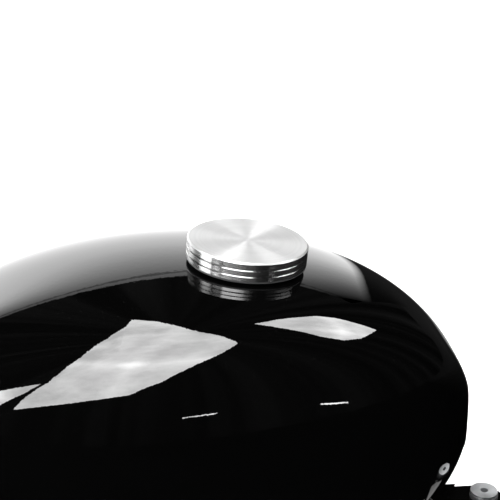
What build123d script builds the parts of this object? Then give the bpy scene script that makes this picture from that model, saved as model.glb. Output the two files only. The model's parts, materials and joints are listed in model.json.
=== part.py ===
"""Motorcycle fuel tank with a billet screw cap, built as separate pieces in one frame.

Frame: millimetres, +X towards the front of the bike, +Y to the rider's left, +Z up.
The origin is midway between the two front mounting holes, level with the bottom of their steel collars,
which rest on the bike's frame.
"""

import os
from math import cos, pi, radians, sin, sqrt

from build123d import *

# ---------------------------------------------------------------- driving dimensions, millimetres

# Tank form
NOSE_X = -4.0
TAIL_X = -500.0
CREST_X = -250.0
WIDEST_X = -285.0
WAIST_Z = 66.0
CROWN_HEIGHT = 148.0
BELLY_DEPTH = 150.0
HALF_WIDTH = 160.0
SHEET = 1.2
FLANGE_WIDTH = 6.0
STATIONS = 12

# Bottom seam in side view, level at the front and rising to the tail
SEAM_Z = 9.0
SEAM_BEND_X = -280.0
SEAM_MIDDLE = (-400.0, 27.0)
SEAM_REAR = (-540.0, 66.0)

# Tunnel over the bike's backbone tube
TUNNEL_HALF_WIDTH = 42.0
TUNNEL_TOP_Z = 100.0
TUNNEL_CORNER = 28.0

# Filler
CAP_X = -200.0
CAP_LEAN = radians(5.2)
CAP_RADIUS = 50.0
CAP_HEIGHT = 16.0
CAP_GAP = 2.4
CAP_CHAMFER = 1.2
GROOVE_WIDTH = 1.0
GROOVE_DEPTH = 1.2
GROOVE_SLOPE = 0.5
CAP_SCREW_CIRCLE = 12.0
CAP_SCREW_COUNT = 4
CAP_SCREW_RADIUS = 2.0
CAP_SCREW_GRIP = 6.0
CAP_SCREW_HEAD_RADIUS = 3.5
CAP_SCREW_HEAD = 3.0
CAP_SCREW_HEX = 1.7
SEAL_RING_BORE = 32.0
SEAL_RING_RADIUS = 49.8
O_RING_SECTION = 1.58
O_RING_Z = -2.2
VENT_STEM_RADIUS = 1.5
VENT_DISC_RADIUS = 6.4
NECK_TOP = 0.4
NECK_FLANGE_RADIUS = 39.0
NECK_FLANGE_BOTTOM = -3.0
NECK_BOTTOM = -32.0
NECK_OUTER_RADIUS = 31.5
NECK_BORE = 28.8
SEAL_BORE = 29.25
SEAL_BORE_BOTTOM = -6.0
PLUG_RADIUS = 26.0
PLUG_HOLLOW_RADIUS = 20.0
PLUG_BOTTOM = -27.0
PLUG_HEAD_RADIUS = 29.6
PLUG_HEAD_TOP = 8.4
PLUG_WEB = 4.0
THREAD_PITCH = 6.0
THREAD_TURNS = 2
THREAD_START = -22.0
THREAD_CLEARANCE = 0.4
THREAD_ROOT_WIDTH = 3.2
THREAD_TIP_WIDTH = 2.0

# Slosh baffle
BAFFLE_X = -330.0
BAFFLE_WIDTH = 236.0
BAFFLE_HEIGHT = 150.0
BAFFLE_THICKNESS = 1.0
BAFFLE_CORNER = 30.0
BAFFLE_HIGH_HOLE_RADIUS = 24.0
BAFFLE_LOW_HOLE_RADIUS = 18.0

# Mounts
FRONT_HOLE_Y = 60.0
REAR_HOLE_X = -520.0
EAR_THICKNESS = 3.0
EAR_WIDTH = 32.0
EAR_LENGTH = 64.0
REAR_TAB_WIDTH = 44.0
REAR_TAB_LENGTH = 50.0
REAR_TAB_Z = 101.2
GROMMET_GROOVE_RADIUS = 9.0
GROMMET_RADIUS = 12.0
COLLAR_RADIUS = 6.5
COLLAR_LENGTH = 15.0
FRONT_BOLT_HOLE = 3.3
REAR_BOLT_HOLE = 4.25
PAD_CENTRES_X = (-120.0, -400.0)
PAD_LENGTH = 90.0
PAD_WIDTH = 26.0
PAD_THICKNESS = 5.0

# Fuel pump module
PUMP_X = -205.0
PUMP_Y = 94.0
PUMP_OPENING_RADIUS = 33.0
PUMP_FLANGE_RADIUS = 45.0
PUMP_SCREW_CIRCLE = 39.0
PUMP_SCREW_COUNT = 6
PUMP_SCREW_RADIUS = 2.5
PUMP_SCREW_HOLE = 2.75
PUMP_SCREW_HEAD_RADIUS = 4.6
PUMP_SCREW_HEAD = 3.6
PUMP_SCREW_HEX = 2.3
GASKET = 1.5
PUMP_FLANGE = 4.0
WELD_RING = 6.0
PUMP_RADIUS = 19.0
PUMP_BOTTOM = 24.0
PUMP_TOP = 118.0
REGULATOR_X = PUMP_X + 34.0
REGULATOR_RADIUS = 11.0
REGULATOR_BOTTOM = 34.0
REGULATOR_TOP = 58.0
OUTLET_RADIUS = 3.95
OUTLET_BORE = 2.2
OUTLET_BEAD_RADIUS = 5.7
OUTLET_LENGTH = 34.0
OUTLET_OFFSET_Y = -14.0
PLUG_OFFSET_X = -6.0
PLUG_OFFSET_Y = 14.0
PLUG_SHROUD_DEPTH = 14.0
HOSE_RADIUS = 5.0
HOSE_BORE = 3.0
CRADLE_BOTTOM = 60.0
CRADLE_HEIGHT = 22.0
CRADLE_WALL = 2.5
CRADLE_ARM = 2.8
STRAINER_BOTTOM = 14.0
STRAINER_THICKNESS = 6.0

# Level sender
FLOAT_PIVOT_X = -172.0
FLOAT_PIVOT_Z = 88.0
FLOAT_ARM_Y = 66.0
FLOAT_ARM_LENGTH = 75.0
FLOAT_RADIUS = 13.0
FLOAT_LENGTH = 22.0
WIRE_RADIUS = 1.5
SENDER_PLATE = 1.0

# Vent and overflow pipes
VENT_X = -262.0
VENT_TOP_Y = -30.0
PIPE_BOTTOM_Y = -64.0
PIPE_BOTTOM_Z = -16.0
VENT_PIPE_RADIUS = 4.0
OVERFLOW_PIPE_RADIUS = 3.0
OVERFLOW_RADIUS_OUT = 35.2
OVERFLOW_KNEE_DEPTH = -45.0
PIPE_WALL = 0.9
VALVE_RADIUS = 9.0
VALVE_BOTTOM = 172.0
VALVE_FLOOR = 180.0
VALVE_SHOULDER = 197.4
VALVE_TOP = 202.0
BALL_RADIUS = 4.5
BALL_REST_Z = 184.0

# ---------------------------------------------------------------- form of the tank


def softened(t, roundness, squareness):
    """Return 1 at t = 0 and 0 at t = 1. Roundness 1 gives an ellipse, less gives a flatter middle."""
    t = abs(t)
    return sqrt(max(0.0, 1.0 - roundness * t**2 - (1.0 - roundness) * t**squareness))


def height_ratio(x):
    """Share of the full crown height and belly depth that the tank has at x."""
    if x > CREST_X:
        return softened((x - CREST_X) / (NOSE_X - CREST_X), 0.38, 2.4)
    return softened((x - CREST_X) / (TAIL_X - CREST_X), 0.70, 9.0)


def width_ratio(x):
    """Share of the full half width that the tank has at x."""
    if x > WIDEST_X:
        return softened((x - WIDEST_X) / (NOSE_X - WIDEST_X), 1.0, 2.0)
    return softened((x - WIDEST_X) / (TAIL_X - WIDEST_X), 0.90, 4.0)


def tank_form(growth):
    """Return the closed egg-like body of the tank, grown outwards by growth on every side."""
    middle_x = (NOSE_X + TAIL_X) / 2.0
    half_length = (NOSE_X - TAIL_X) / 2.0
    sections = []
    for station in range(1, STATIONS):
        along = sin(pi * (station / STATIONS - 0.5))
        x = middle_x + half_length * along
        half_width = HALF_WIDTH * width_ratio(x) + growth
        crown = CROWN_HEIGHT * height_ratio(x) + growth
        belly = BELLY_DEPTH * height_ratio(x) + growth
        across = [sin(pi * (step / 16.0 - 0.5)) for step in range(17)]
        upper = [(half_width * s, crown * softened(s, 0.10, 4.5)) for s in across]
        lower = [(half_width * s, -belly * softened(s, 1.0, 2.0)) for s in across[::-2]]
        station_x = middle_x + (half_length + growth) * along
        section_plane = Plane(origin=(station_x, 0, WAIST_Z), x_dir=(0, 1, 0), z_dir=(1, 0, 0))
        with BuildSketch(section_plane) as section:
            with BuildLine():
                Spline(*upper, tangents=[(0, 1), (0, -1)])
                Spline(*lower, tangents=[(0, -1), (0, 1)])
            make_face()
        sections.append(section.sketch)
    tail = Vertex(TAIL_X - growth, 0, WAIST_Z)
    nose = Vertex(NOSE_X + growth, 0, WAIST_Z)
    with BuildPart() as form:
        loft(sections=[tail, *sections, nose])
    return form.part


def seam_slab(low, high):
    """Return the slab that follows the bottom seam, from low to high above it, wider than the tank."""
    with BuildPart() as slab:
        with BuildSketch(Plane.XZ):
            with BuildLine():
                for rise in (low, high):
                    front = (40.0, SEAM_Z + rise)
                    bend = (SEAM_BEND_X, SEAM_Z + rise)
                    middle = (SEAM_MIDDLE[0], SEAM_MIDDLE[1] + rise)
                    rear = (SEAM_REAR[0], SEAM_REAR[1] + rise)
                    Line(front, bend)
                    Spline(bend, middle, rear, tangents=[(-1, 0), (-1, 0.3)])
                Line((40.0, SEAM_Z + low), (40.0, SEAM_Z + high))
                Line((SEAM_REAR[0], SEAM_REAR[1] + low), (SEAM_REAR[0], SEAM_REAR[1] + high))
            make_face()
        extrude(amount=220, both=True)
    return slab.part


def tunnel_core(growth):
    """Return the round-cornered bar that the tunnel clears, grown by growth."""
    half_width = TUNNEL_HALF_WIDTH + growth
    top = TUNNEL_TOP_Z + growth
    corner = TUNNEL_CORNER + growth
    with BuildPart() as core:
        with BuildSketch(Plane.YZ.offset(TAIL_X - 40.0)):
            with BuildLine():
                Line((-half_width, -40.0), (half_width, -40.0))
                Line((half_width, -40.0), (half_width, top - corner))
                RadiusArc((half_width, top - corner), (half_width - corner, top), -corner)
                Line((half_width - corner, top), (corner - half_width, top))
                RadiusArc((corner - half_width, top), (-half_width, top - corner), -corner)
                Line((-half_width, top - corner), (-half_width, -40.0))
            make_face()
        extrude(amount=NOSE_X - TAIL_X + 80.0)
    return core.part


outer_form = tank_form(0.0)
inner_form = tank_form(-SHEET)
flange_form = tank_form(FLANGE_WIDTH)

# ---------------------------------------------------------------- filler axis

cap_height_on_crown = WAIST_Z + CROWN_HEIGHT * height_ratio(CAP_X)
cap_origin = (CAP_X, 0, cap_height_on_crown)
cap_up = (sin(CAP_LEAN), 0, cos(CAP_LEAN))
cap_forward = (cos(CAP_LEAN), 0, -sin(CAP_LEAN))
cap_axis = Axis(cap_origin, cap_up)
cap_plane = Plane(origin=cap_origin, x_dir=cap_forward, z_dir=cap_up)
# In this plane x is the distance from the cap's axis and y the height above the tank's crown.
cap_section = Plane(origin=cap_origin, x_dir=cap_forward, z_dir=(0, -1, 0))

# The overflow pipe leaves the neck's flange square to it, so it meets the base a little behind the cap.
overflow_start = cap_plane.from_local_coords((0, -OVERFLOW_RADIUS_OUT, NECK_FLANGE_BOTTOM))
overflow_knee = cap_plane.from_local_coords((0, -OVERFLOW_RADIUS_OUT, OVERFLOW_KNEE_DEPTH))
overflow_x = overflow_knee.X

# ---------------------------------------------------------------- steel tank


def lip_ring():
    """Return the shell's turned-out bottom lip, which is seam-welded to the base."""
    with BuildPart() as lip:
        add(flange_form)
        add(seam_slab(SHEET, 2 * SHEET), mode=Mode.INTERSECT)
        add(tank_form(-SHEET / 2), mode=Mode.SUBTRACT)
    return lip.part


with BuildPart() as tank_shell:
    add(outer_form)
    add(inner_form, mode=Mode.SUBTRACT)
    add(seam_slab(-240.0, SHEET), mode=Mode.SUBTRACT)
    add(lip_ring())
    add(tunnel_core(SHEET), mode=Mode.SUBTRACT)
    with BuildSketch(cap_plane.offset(-20.0)):
        Circle(NECK_FLANGE_RADIUS)
    extrude(amount=40.0, mode=Mode.SUBTRACT)


def tunnel_sheet():
    """Return the arched sheet of the tunnel, trimmed flush with the outside of the tank."""
    with BuildPart() as arch:
        add(tunnel_core(SHEET))
        add(tunnel_core(0.0), mode=Mode.SUBTRACT)
        add(seam_slab(0.0, 240.0), mode=Mode.INTERSECT)
        add(outer_form, mode=Mode.INTERSECT)
    return arch.part


pump_centre = Location((PUMP_X, PUMP_Y, 0))

with BuildPart() as tank_base:
    add(flange_form)
    add(seam_slab(0.0, SHEET), mode=Mode.INTERSECT)
    add(tunnel_core(0.0), mode=Mode.SUBTRACT)
    add(tunnel_sheet())
    with BuildSketch(Plane.XY.offset(SEAM_Z)):
        with Locations(pump_centre):
            Circle(PUMP_OPENING_RADIUS)
            with PolarLocations(PUMP_SCREW_CIRCLE, PUMP_SCREW_COUNT):
                Circle(PUMP_SCREW_HOLE)
        with Locations((VENT_X, PIPE_BOTTOM_Y)):
            Circle(VENT_PIPE_RADIUS)
        with Locations((overflow_x, PIPE_BOTTOM_Y)):
            Circle(OVERFLOW_PIPE_RADIUS)
    extrude(amount=SHEET, mode=Mode.SUBTRACT)

with BuildPart() as slosh_baffle:
    with BuildSketch(Plane.YZ.offset(BAFFLE_X)):
        with Locations((0, 90.0)):
            Rectangle(BAFFLE_WIDTH, BAFFLE_HEIGHT)
        with Locations((-82.0, 108.0), (82.0, 108.0)):
            Circle(BAFFLE_HIGH_HOLE_RADIUS, mode=Mode.SUBTRACT)
        with Locations((-BAFFLE_WIDTH / 2, 15.0), (BAFFLE_WIDTH / 2, 15.0)):
            Circle(BAFFLE_LOW_HOLE_RADIUS, mode=Mode.SUBTRACT)
    extrude(amount=BAFFLE_THICKNESS)
    add(tunnel_core(SHEET), mode=Mode.SUBTRACT)
    add(seam_slab(-240.0, SHEET), mode=Mode.SUBTRACT)
    top_corners = slosh_baffle.edges().filter_by(Axis.X).sort_by(Axis.Z)[-2:]
    fillet(top_corners, radius=BAFFLE_CORNER)

# ---------------------------------------------------------------- filler neck and cap


def thread_ridge(start, inner_width, outer_width, inner_radius, outer_radius):
    """Return one helical ridge round the cap's axis, between two radii, from a height above the crown."""
    foot = Vector(*cap_origin) + Vector(*cap_up) * start
    with BuildPart() as ridge:
        with BuildLine() as helix:
            Helix(
                pitch=THREAD_PITCH,
                height=THREAD_PITCH * THREAD_TURNS,
                radius=(inner_radius + outer_radius) / 2,
                center=foot,
                direction=cap_up,
            )
        outward = (helix.line @ 0) - foot
        with BuildSketch(Plane(origin=helix.line @ 0, x_dir=outward, z_dir=helix.line % 0)):
            half_depth = (outer_radius - inner_radius) / 2
            with BuildLine():
                Polyline(
                    (-half_depth, -inner_width / 2),
                    (half_depth, -outer_width / 2),
                    (half_depth, outer_width / 2),
                    (-half_depth, inner_width / 2),
                    close=True,
                )
            make_face()
        sweep(path=helix.line, is_frenet=True)
    return ridge.part


with BuildPart() as filler_neck:
    with BuildSketch(cap_section):
        with BuildLine():
            Polyline(
                (NECK_BORE, NECK_BOTTOM),
                (NECK_OUTER_RADIUS, NECK_BOTTOM),
                (NECK_OUTER_RADIUS, NECK_FLANGE_BOTTOM),
                (NECK_FLANGE_RADIUS, NECK_FLANGE_BOTTOM),
                (NECK_FLANGE_RADIUS, NECK_TOP),
                (SEAL_BORE, NECK_TOP),
                (SEAL_BORE, SEAL_BORE_BOTTOM),
                (NECK_BORE, SEAL_BORE_BOTTOM - 1.0),
                close=True,
            )
        make_face()
    revolve(axis=cap_axis)
    add(
        thread_ridge(
            THREAD_START - THREAD_PITCH / 2,
            THREAD_TIP_WIDTH,
            THREAD_ROOT_WIDTH + 0.4,
            PLUG_RADIUS + THREAD_CLEARANCE,
            NECK_BORE + 0.4,
        )
    )
    with BuildSketch(cap_plane.offset(NECK_TOP + 1.0)):
        with Locations((0, -OVERFLOW_RADIUS_OUT)):
            Circle(OVERFLOW_PIPE_RADIUS - PIPE_WALL)
    extrude(amount=-6.0, mode=Mode.SUBTRACT)

band_height = (CAP_HEIGHT - CAP_CHAMFER - 2 * GROOVE_WIDTH) / 3

with BuildPart() as cap_cover:
    with BuildSketch(cap_section):
        with BuildLine():
            Polyline(
                (0, PLUG_HEAD_TOP),
                (PLUG_HEAD_RADIUS + 0.4, PLUG_HEAD_TOP),
                (PLUG_HEAD_RADIUS + 0.4, CAP_GAP),
                (CAP_RADIUS, CAP_GAP),
                (CAP_RADIUS, CAP_GAP + CAP_HEIGHT - CAP_CHAMFER),
                (CAP_RADIUS - CAP_CHAMFER, CAP_GAP + CAP_HEIGHT),
                (0, CAP_GAP + CAP_HEIGHT),
                close=True,
            )
        make_face()
        for groove in (1, 2):
            groove_bottom = CAP_GAP + groove * band_height + (groove - 1) * GROOVE_WIDTH
            with BuildLine():
                Polyline(
                    (CAP_RADIUS - GROOVE_DEPTH, groove_bottom + GROOVE_SLOPE),
                    (CAP_RADIUS - GROOVE_DEPTH, groove_bottom + GROOVE_WIDTH),
                    (CAP_RADIUS + 1.0, groove_bottom + GROOVE_WIDTH),
                    (CAP_RADIUS + 1.0, groove_bottom - GROOVE_SLOPE),
                    (CAP_RADIUS, groove_bottom - GROOVE_SLOPE),
                    close=True,
                )
            make_face(mode=Mode.SUBTRACT)
    revolve(axis=cap_axis)
    with BuildSketch(cap_plane.offset(PLUG_HEAD_TOP)):
        with PolarLocations(CAP_SCREW_CIRCLE, CAP_SCREW_COUNT, start_angle=45.0):
            Circle(CAP_SCREW_RADIUS)
    extrude(amount=CAP_SCREW_GRIP + 0.5, mode=Mode.SUBTRACT)

with BuildPart() as cap_plug:
    with BuildSketch(cap_section):
        with BuildLine():
            Polyline(
                (0, PLUG_HEAD_TOP - PLUG_WEB),
                (PLUG_HOLLOW_RADIUS, PLUG_HEAD_TOP - PLUG_WEB),
                (PLUG_HOLLOW_RADIUS, PLUG_BOTTOM),
                (PLUG_RADIUS - 1.5, PLUG_BOTTOM),
                (PLUG_RADIUS, PLUG_BOTTOM + 1.5),
                (PLUG_RADIUS, CAP_GAP),
                (PLUG_HEAD_RADIUS, CAP_GAP),
                (PLUG_HEAD_RADIUS, PLUG_HEAD_TOP),
                (0, PLUG_HEAD_TOP),
                close=True,
            )
        make_face()
    revolve(axis=cap_axis)
    add(
        thread_ridge(
            THREAD_START,
            THREAD_ROOT_WIDTH + 0.4,
            THREAD_TIP_WIDTH,
            PLUG_RADIUS - 0.4,
            NECK_BORE - THREAD_CLEARANCE,
        )
    )
    with BuildSketch(cap_plane.offset(PLUG_HEAD_TOP)):
        with PolarLocations(CAP_SCREW_CIRCLE, CAP_SCREW_COUNT, start_angle=45.0):
            Circle(CAP_SCREW_RADIUS + 0.2)
        with Locations((0, 0)):
            Circle(VENT_STEM_RADIUS + 0.1)
        with PolarLocations(4.5, 3):
            Circle(0.8)
    extrude(amount=-PLUG_WEB, mode=Mode.SUBTRACT)

with BuildPart() as cap_screws:
    with BuildSketch(cap_plane.offset(PLUG_HEAD_TOP - PLUG_WEB)):
        with PolarLocations(CAP_SCREW_CIRCLE, CAP_SCREW_COUNT, start_angle=45.0):
            Circle(CAP_SCREW_RADIUS)
    extrude(amount=PLUG_WEB + CAP_SCREW_GRIP)
    with BuildSketch(cap_plane.offset(PLUG_HEAD_TOP - PLUG_WEB)):
        with PolarLocations(CAP_SCREW_CIRCLE, CAP_SCREW_COUNT, start_angle=45.0):
            Circle(CAP_SCREW_HEAD_RADIUS)
    extrude(amount=-CAP_SCREW_HEAD)
    with BuildSketch(cap_plane.offset(PLUG_HEAD_TOP - PLUG_WEB - CAP_SCREW_HEAD)):
        with PolarLocations(CAP_SCREW_CIRCLE, CAP_SCREW_COUNT, start_angle=45.0):
            RegularPolygon(CAP_SCREW_HEX, 6)
    extrude(amount=1.8, mode=Mode.SUBTRACT)

with BuildPart() as vent_umbrella:
    with BuildSketch(cap_section):
        with BuildLine():
            Polyline(
                (0, PLUG_HEAD_TOP - PLUG_WEB - 1.6),
                (2.6, PLUG_HEAD_TOP - PLUG_WEB - 1.6),
                (VENT_DISC_RADIUS, PLUG_HEAD_TOP - PLUG_WEB - 0.6),
                (VENT_DISC_RADIUS, PLUG_HEAD_TOP - PLUG_WEB),
                (VENT_STEM_RADIUS, PLUG_HEAD_TOP - PLUG_WEB),
                (VENT_STEM_RADIUS, PLUG_HEAD_TOP - 0.4),
                (0, PLUG_HEAD_TOP - 0.4),
                close=True,
            )
        make_face()
    revolve(axis=cap_axis)

with BuildPart() as cap_o_ring:
    with BuildSketch(cap_section):
        with Locations((PLUG_RADIUS + O_RING_SECTION + 0.02, O_RING_Z)):
            Circle(O_RING_SECTION)
    revolve(axis=cap_axis)

with BuildPart() as cap_seal_ring:
    with BuildSketch(cap_section):
        with BuildLine():
            Polyline(
                (SEAL_RING_BORE, NECK_TOP),
                (NECK_FLANGE_RADIUS, NECK_TOP),
                (SEAL_RING_RADIUS - 0.6, NECK_TOP + 0.4),
                (SEAL_RING_RADIUS, NECK_TOP + 0.9),
                (SEAL_RING_RADIUS, CAP_GAP),
                (SEAL_RING_BORE, CAP_GAP),
                close=True,
            )
        make_face()
    revolve(axis=cap_axis)

# ---------------------------------------------------------------- mounts

front_holes = [(0, -FRONT_HOLE_Y), (0, FRONT_HOLE_Y)]

with BuildPart() as front_mount_ears:
    with BuildSketch(Plane.XY.offset(SEAM_Z - EAR_THICKNESS)):
        for side in (-1, 1):
            with Locations((-EAR_LENGTH / 2, side * FRONT_HOLE_Y)):
                Rectangle(EAR_LENGTH, EAR_WIDTH)
            with Locations((0, side * FRONT_HOLE_Y)):
                Circle(EAR_WIDTH / 2)
                Circle(GROMMET_GROOVE_RADIUS, mode=Mode.SUBTRACT)
    extrude(amount=EAR_THICKNESS)

with BuildPart() as rear_mount_tab:
    with BuildSketch(Plane.XY.offset(REAR_TAB_Z)):
        with Locations((REAR_HOLE_X + REAR_TAB_LENGTH / 2, 0)):
            Rectangle(REAR_TAB_LENGTH, REAR_TAB_WIDTH)
        with Locations((REAR_HOLE_X, 0)):
            Circle(REAR_TAB_WIDTH / 2)
            Circle(GROMMET_GROOVE_RADIUS, mode=Mode.SUBTRACT)
    extrude(amount=EAR_THICKNESS)
    for side in (-1, 1):
        with BuildSketch(Plane.XZ.offset(side * (REAR_TAB_WIDTH - EAR_THICKNESS) / 2)):
            with BuildLine():
                Polyline(
                    (REAR_HOLE_X + 2.0, REAR_TAB_Z + EAR_THICKNESS),
                    (REAR_HOLE_X + REAR_TAB_LENGTH, REAR_TAB_Z + EAR_THICKNESS),
                    (REAR_HOLE_X + REAR_TAB_LENGTH, REAR_TAB_Z + 26.0),
                    close=True,
                )
            make_face()
        extrude(amount=EAR_THICKNESS / 2, both=True)
    add(outer_form, mode=Mode.SUBTRACT)


def grommet(centre, plate_bottom):
    """Return one rubber grommet, grooved for a plate, with a bore for its steel collar."""
    section_plane = Plane(origin=(*centre, plate_bottom), x_dir=(1, 0, 0), z_dir=(0, -1, 0))
    with BuildPart() as rubber:
        with BuildSketch(section_plane):
            with BuildLine():
                Polyline(
                    (COLLAR_RADIUS, -4.5),
                    (GROMMET_RADIUS - 1.0, -4.5),
                    (GROMMET_RADIUS, -3.5),
                    (GROMMET_RADIUS, 0),
                    (GROMMET_GROOVE_RADIUS, 0),
                    (GROMMET_GROOVE_RADIUS, EAR_THICKNESS),
                    (GROMMET_RADIUS, EAR_THICKNESS),
                    (GROMMET_RADIUS, EAR_THICKNESS + 3.5),
                    (GROMMET_RADIUS - 1.0, EAR_THICKNESS + 4.5),
                    (COLLAR_RADIUS, EAR_THICKNESS + 4.5),
                    close=True,
                )
            make_face()
        revolve(axis=Axis((*centre, 0), (0, 0, 1)))
    return rubber.part


def collar(centre, bottom, bore):
    """Return one flanged steel collar that takes the bolt's clamping load inside the grommet."""
    with BuildPart() as steel:
        with BuildSketch(Plane.XY.offset(bottom)):
            with Locations(centre):
                Circle(COLLAR_RADIUS)
                Circle(bore, mode=Mode.SUBTRACT)
        extrude(amount=COLLAR_LENGTH)
        with BuildSketch(Plane.XY.offset(bottom + COLLAR_LENGTH - 1.5)):
            with Locations(centre):
                Circle(GROMMET_RADIUS - 0.5)
                Circle(bore, mode=Mode.SUBTRACT)
        extrude(amount=1.5)
    return steel.part


with BuildPart() as front_grommets:
    for hole in front_holes:
        add(grommet(hole, SEAM_Z - EAR_THICKNESS))

with BuildPart() as front_collars:
    for hole in front_holes:
        add(collar(hole, 0.0, FRONT_BOLT_HOLE))

with BuildPart() as rear_grommet:
    add(grommet((REAR_HOLE_X, 0), REAR_TAB_Z))

with BuildPart() as rear_collar:
    add(collar((REAR_HOLE_X, 0), REAR_TAB_Z - SEAM_Z + EAR_THICKNESS, REAR_BOLT_HOLE))

with BuildPart() as tunnel_pads:
    with BuildSketch(Plane.XY.offset(TUNNEL_TOP_Z)):
        with Locations([(x, 0) for x in PAD_CENTRES_X]):
            RectangleRounded(PAD_LENGTH, PAD_WIDTH, 4.0)
    extrude(amount=-PAD_THICKNESS)

# ---------------------------------------------------------------- pump module

flange_top = SEAM_Z - GASKET
flange_bottom = flange_top - PUMP_FLANGE
pan_top = SEAM_Z + SHEET

with BuildPart() as pump_weld_ring:
    with BuildSketch(Plane.XY.offset(pan_top)):
        with Locations(pump_centre):
            Circle(PUMP_FLANGE_RADIUS)
            Circle(PUMP_OPENING_RADIUS, mode=Mode.SUBTRACT)
    extrude(amount=WELD_RING)
    with BuildSketch(Plane.XY.offset(pan_top)):
        with Locations(pump_centre):
            with PolarLocations(PUMP_SCREW_CIRCLE, PUMP_SCREW_COUNT):
                Circle(PUMP_SCREW_RADIUS)
    extrude(amount=WELD_RING - 1.0, mode=Mode.SUBTRACT)

with BuildPart() as pump_gasket:
    with BuildSketch(Plane.XY.offset(flange_top)):
        with Locations(pump_centre):
            Circle(PUMP_FLANGE_RADIUS)
            Circle(PUMP_OPENING_RADIUS, mode=Mode.SUBTRACT)
            with PolarLocations(PUMP_SCREW_CIRCLE, PUMP_SCREW_COUNT):
                Circle(PUMP_SCREW_HOLE, mode=Mode.SUBTRACT)
    extrude(amount=GASKET)

with BuildPart() as pump_flange:
    with BuildSketch(Plane.XY.offset(flange_bottom)):
        with Locations(pump_centre):
            Circle(PUMP_FLANGE_RADIUS)
            with PolarLocations(PUMP_SCREW_CIRCLE, PUMP_SCREW_COUNT):
                Circle(PUMP_SCREW_HOLE, mode=Mode.SUBTRACT)
    extrude(amount=PUMP_FLANGE)
    with BuildSketch(Plane.XY.offset(flange_top)):
        with Locations(pump_centre):
            Circle(PUMP_OPENING_RADIUS - 1.0)
            Circle(PUMP_OPENING_RADIUS - 4.0, mode=Mode.SUBTRACT)
    extrude(amount=GASKET + SHEET + 3.0)
    # Riser that carries fuel from the regulator down to the outlet
    with BuildSketch(Plane.XY.offset(flange_top)):
        with Locations((PUMP_X + 22.0, PUMP_Y)):
            Circle(5.0)
    extrude(amount=10.0)
    # Outlet boss below
    with BuildSketch(Plane.XY.offset(flange_bottom)):
        with Locations((PUMP_X + 8.0, PUMP_Y + OUTLET_OFFSET_Y)):
            RectangleRounded(26.0, 16.0, 4.0)
    extrude(amount=-PLUG_SHROUD_DEPTH)
    # Shroud for the electrical connector
    with BuildSketch(Plane.XY.offset(flange_bottom)):
        with Locations((PUMP_X + PLUG_OFFSET_X, PUMP_Y + PLUG_OFFSET_Y)):
            RectangleRounded(26.0, 16.0, 3.0)
            RectangleRounded(22.0, 12.0, 1.5, mode=Mode.SUBTRACT)
    extrude(amount=-PLUG_SHROUD_DEPTH)

with BuildPart() as pump_terminals:
    with BuildSketch(Plane.XY.offset(flange_bottom)):
        with Locations((PUMP_X + PLUG_OFFSET_X, PUMP_Y + PLUG_OFFSET_Y)):
            with GridLocations(4.6, 1.0, 4, 1):
                Rectangle(1.8, 0.8)
    extrude(amount=4.0 - PLUG_SHROUD_DEPTH)

outlet_start = (PUMP_X + 21.0, PUMP_Y + OUTLET_OFFSET_Y, flange_bottom - 8.0)

with BuildPart() as fuel_outlet:
    with BuildSketch(Plane(origin=outlet_start, x_dir=(1, 0, 0), z_dir=(0, -1, 0))):
        with BuildLine():
            Polyline(
                (0, OUTLET_BORE),
                (OUTLET_LENGTH, OUTLET_BORE),
                (OUTLET_LENGTH, OUTLET_RADIUS - 0.8),
                (OUTLET_LENGTH - 1.0, OUTLET_RADIUS),
                (16.0, OUTLET_RADIUS),
                (16.0, OUTLET_BEAD_RADIUS),
                (13.0, OUTLET_BEAD_RADIUS),
                (13.0, OUTLET_RADIUS),
                (0, OUTLET_RADIUS),
                close=True,
            )
        make_face()
    revolve(axis=Axis(outlet_start, (1, 0, 0)))

with BuildPart() as pump_screws:
    with BuildSketch(Plane.XY.offset(flange_bottom)):
        with Locations(pump_centre):
            with PolarLocations(PUMP_SCREW_CIRCLE, PUMP_SCREW_COUNT):
                Circle(PUMP_SCREW_RADIUS)
    extrude(amount=PUMP_FLANGE + GASKET + SHEET + 4.5)
    with BuildSketch(Plane.XY.offset(flange_bottom)):
        with Locations(pump_centre):
            with PolarLocations(PUMP_SCREW_CIRCLE, PUMP_SCREW_COUNT):
                Circle(PUMP_SCREW_HEAD_RADIUS)
    extrude(amount=-PUMP_SCREW_HEAD)
    with BuildSketch(Plane.XY.offset(flange_bottom - PUMP_SCREW_HEAD)):
        with Locations(pump_centre):
            with PolarLocations(PUMP_SCREW_CIRCLE, PUMP_SCREW_COUNT):
                RegularPolygon(PUMP_SCREW_HEX, 6)
    extrude(amount=2.4, mode=Mode.SUBTRACT)

with BuildPart() as pump_body:
    with BuildSketch(Plane.XZ.offset(-PUMP_Y)):
        with BuildLine():
            Polyline(
                (PUMP_X, PUMP_BOTTOM),
                (PUMP_X + 12.0, PUMP_BOTTOM),
                (PUMP_X + 12.0, PUMP_BOTTOM + 3.0),
                (PUMP_X + PUMP_RADIUS - 1.5, PUMP_BOTTOM + 3.0),
                (PUMP_X + PUMP_RADIUS, PUMP_BOTTOM + 4.5),
                (PUMP_X + PUMP_RADIUS, PUMP_TOP - 12.0),
                (PUMP_X + PUMP_RADIUS - 2.0, PUMP_TOP - 10.0),
                (PUMP_X + PUMP_RADIUS - 2.0, PUMP_TOP),
                (PUMP_X + HOSE_BORE, PUMP_TOP),
                (PUMP_X + HOSE_BORE, PUMP_TOP + 12.0),
                (PUMP_X, PUMP_TOP + 12.0),
                close=True,
            )
        make_face()
    revolve(axis=Axis((PUMP_X, PUMP_Y, 0), (0, 0, 1)))

sender_plate_y = FLOAT_ARM_Y + 3.0

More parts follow.
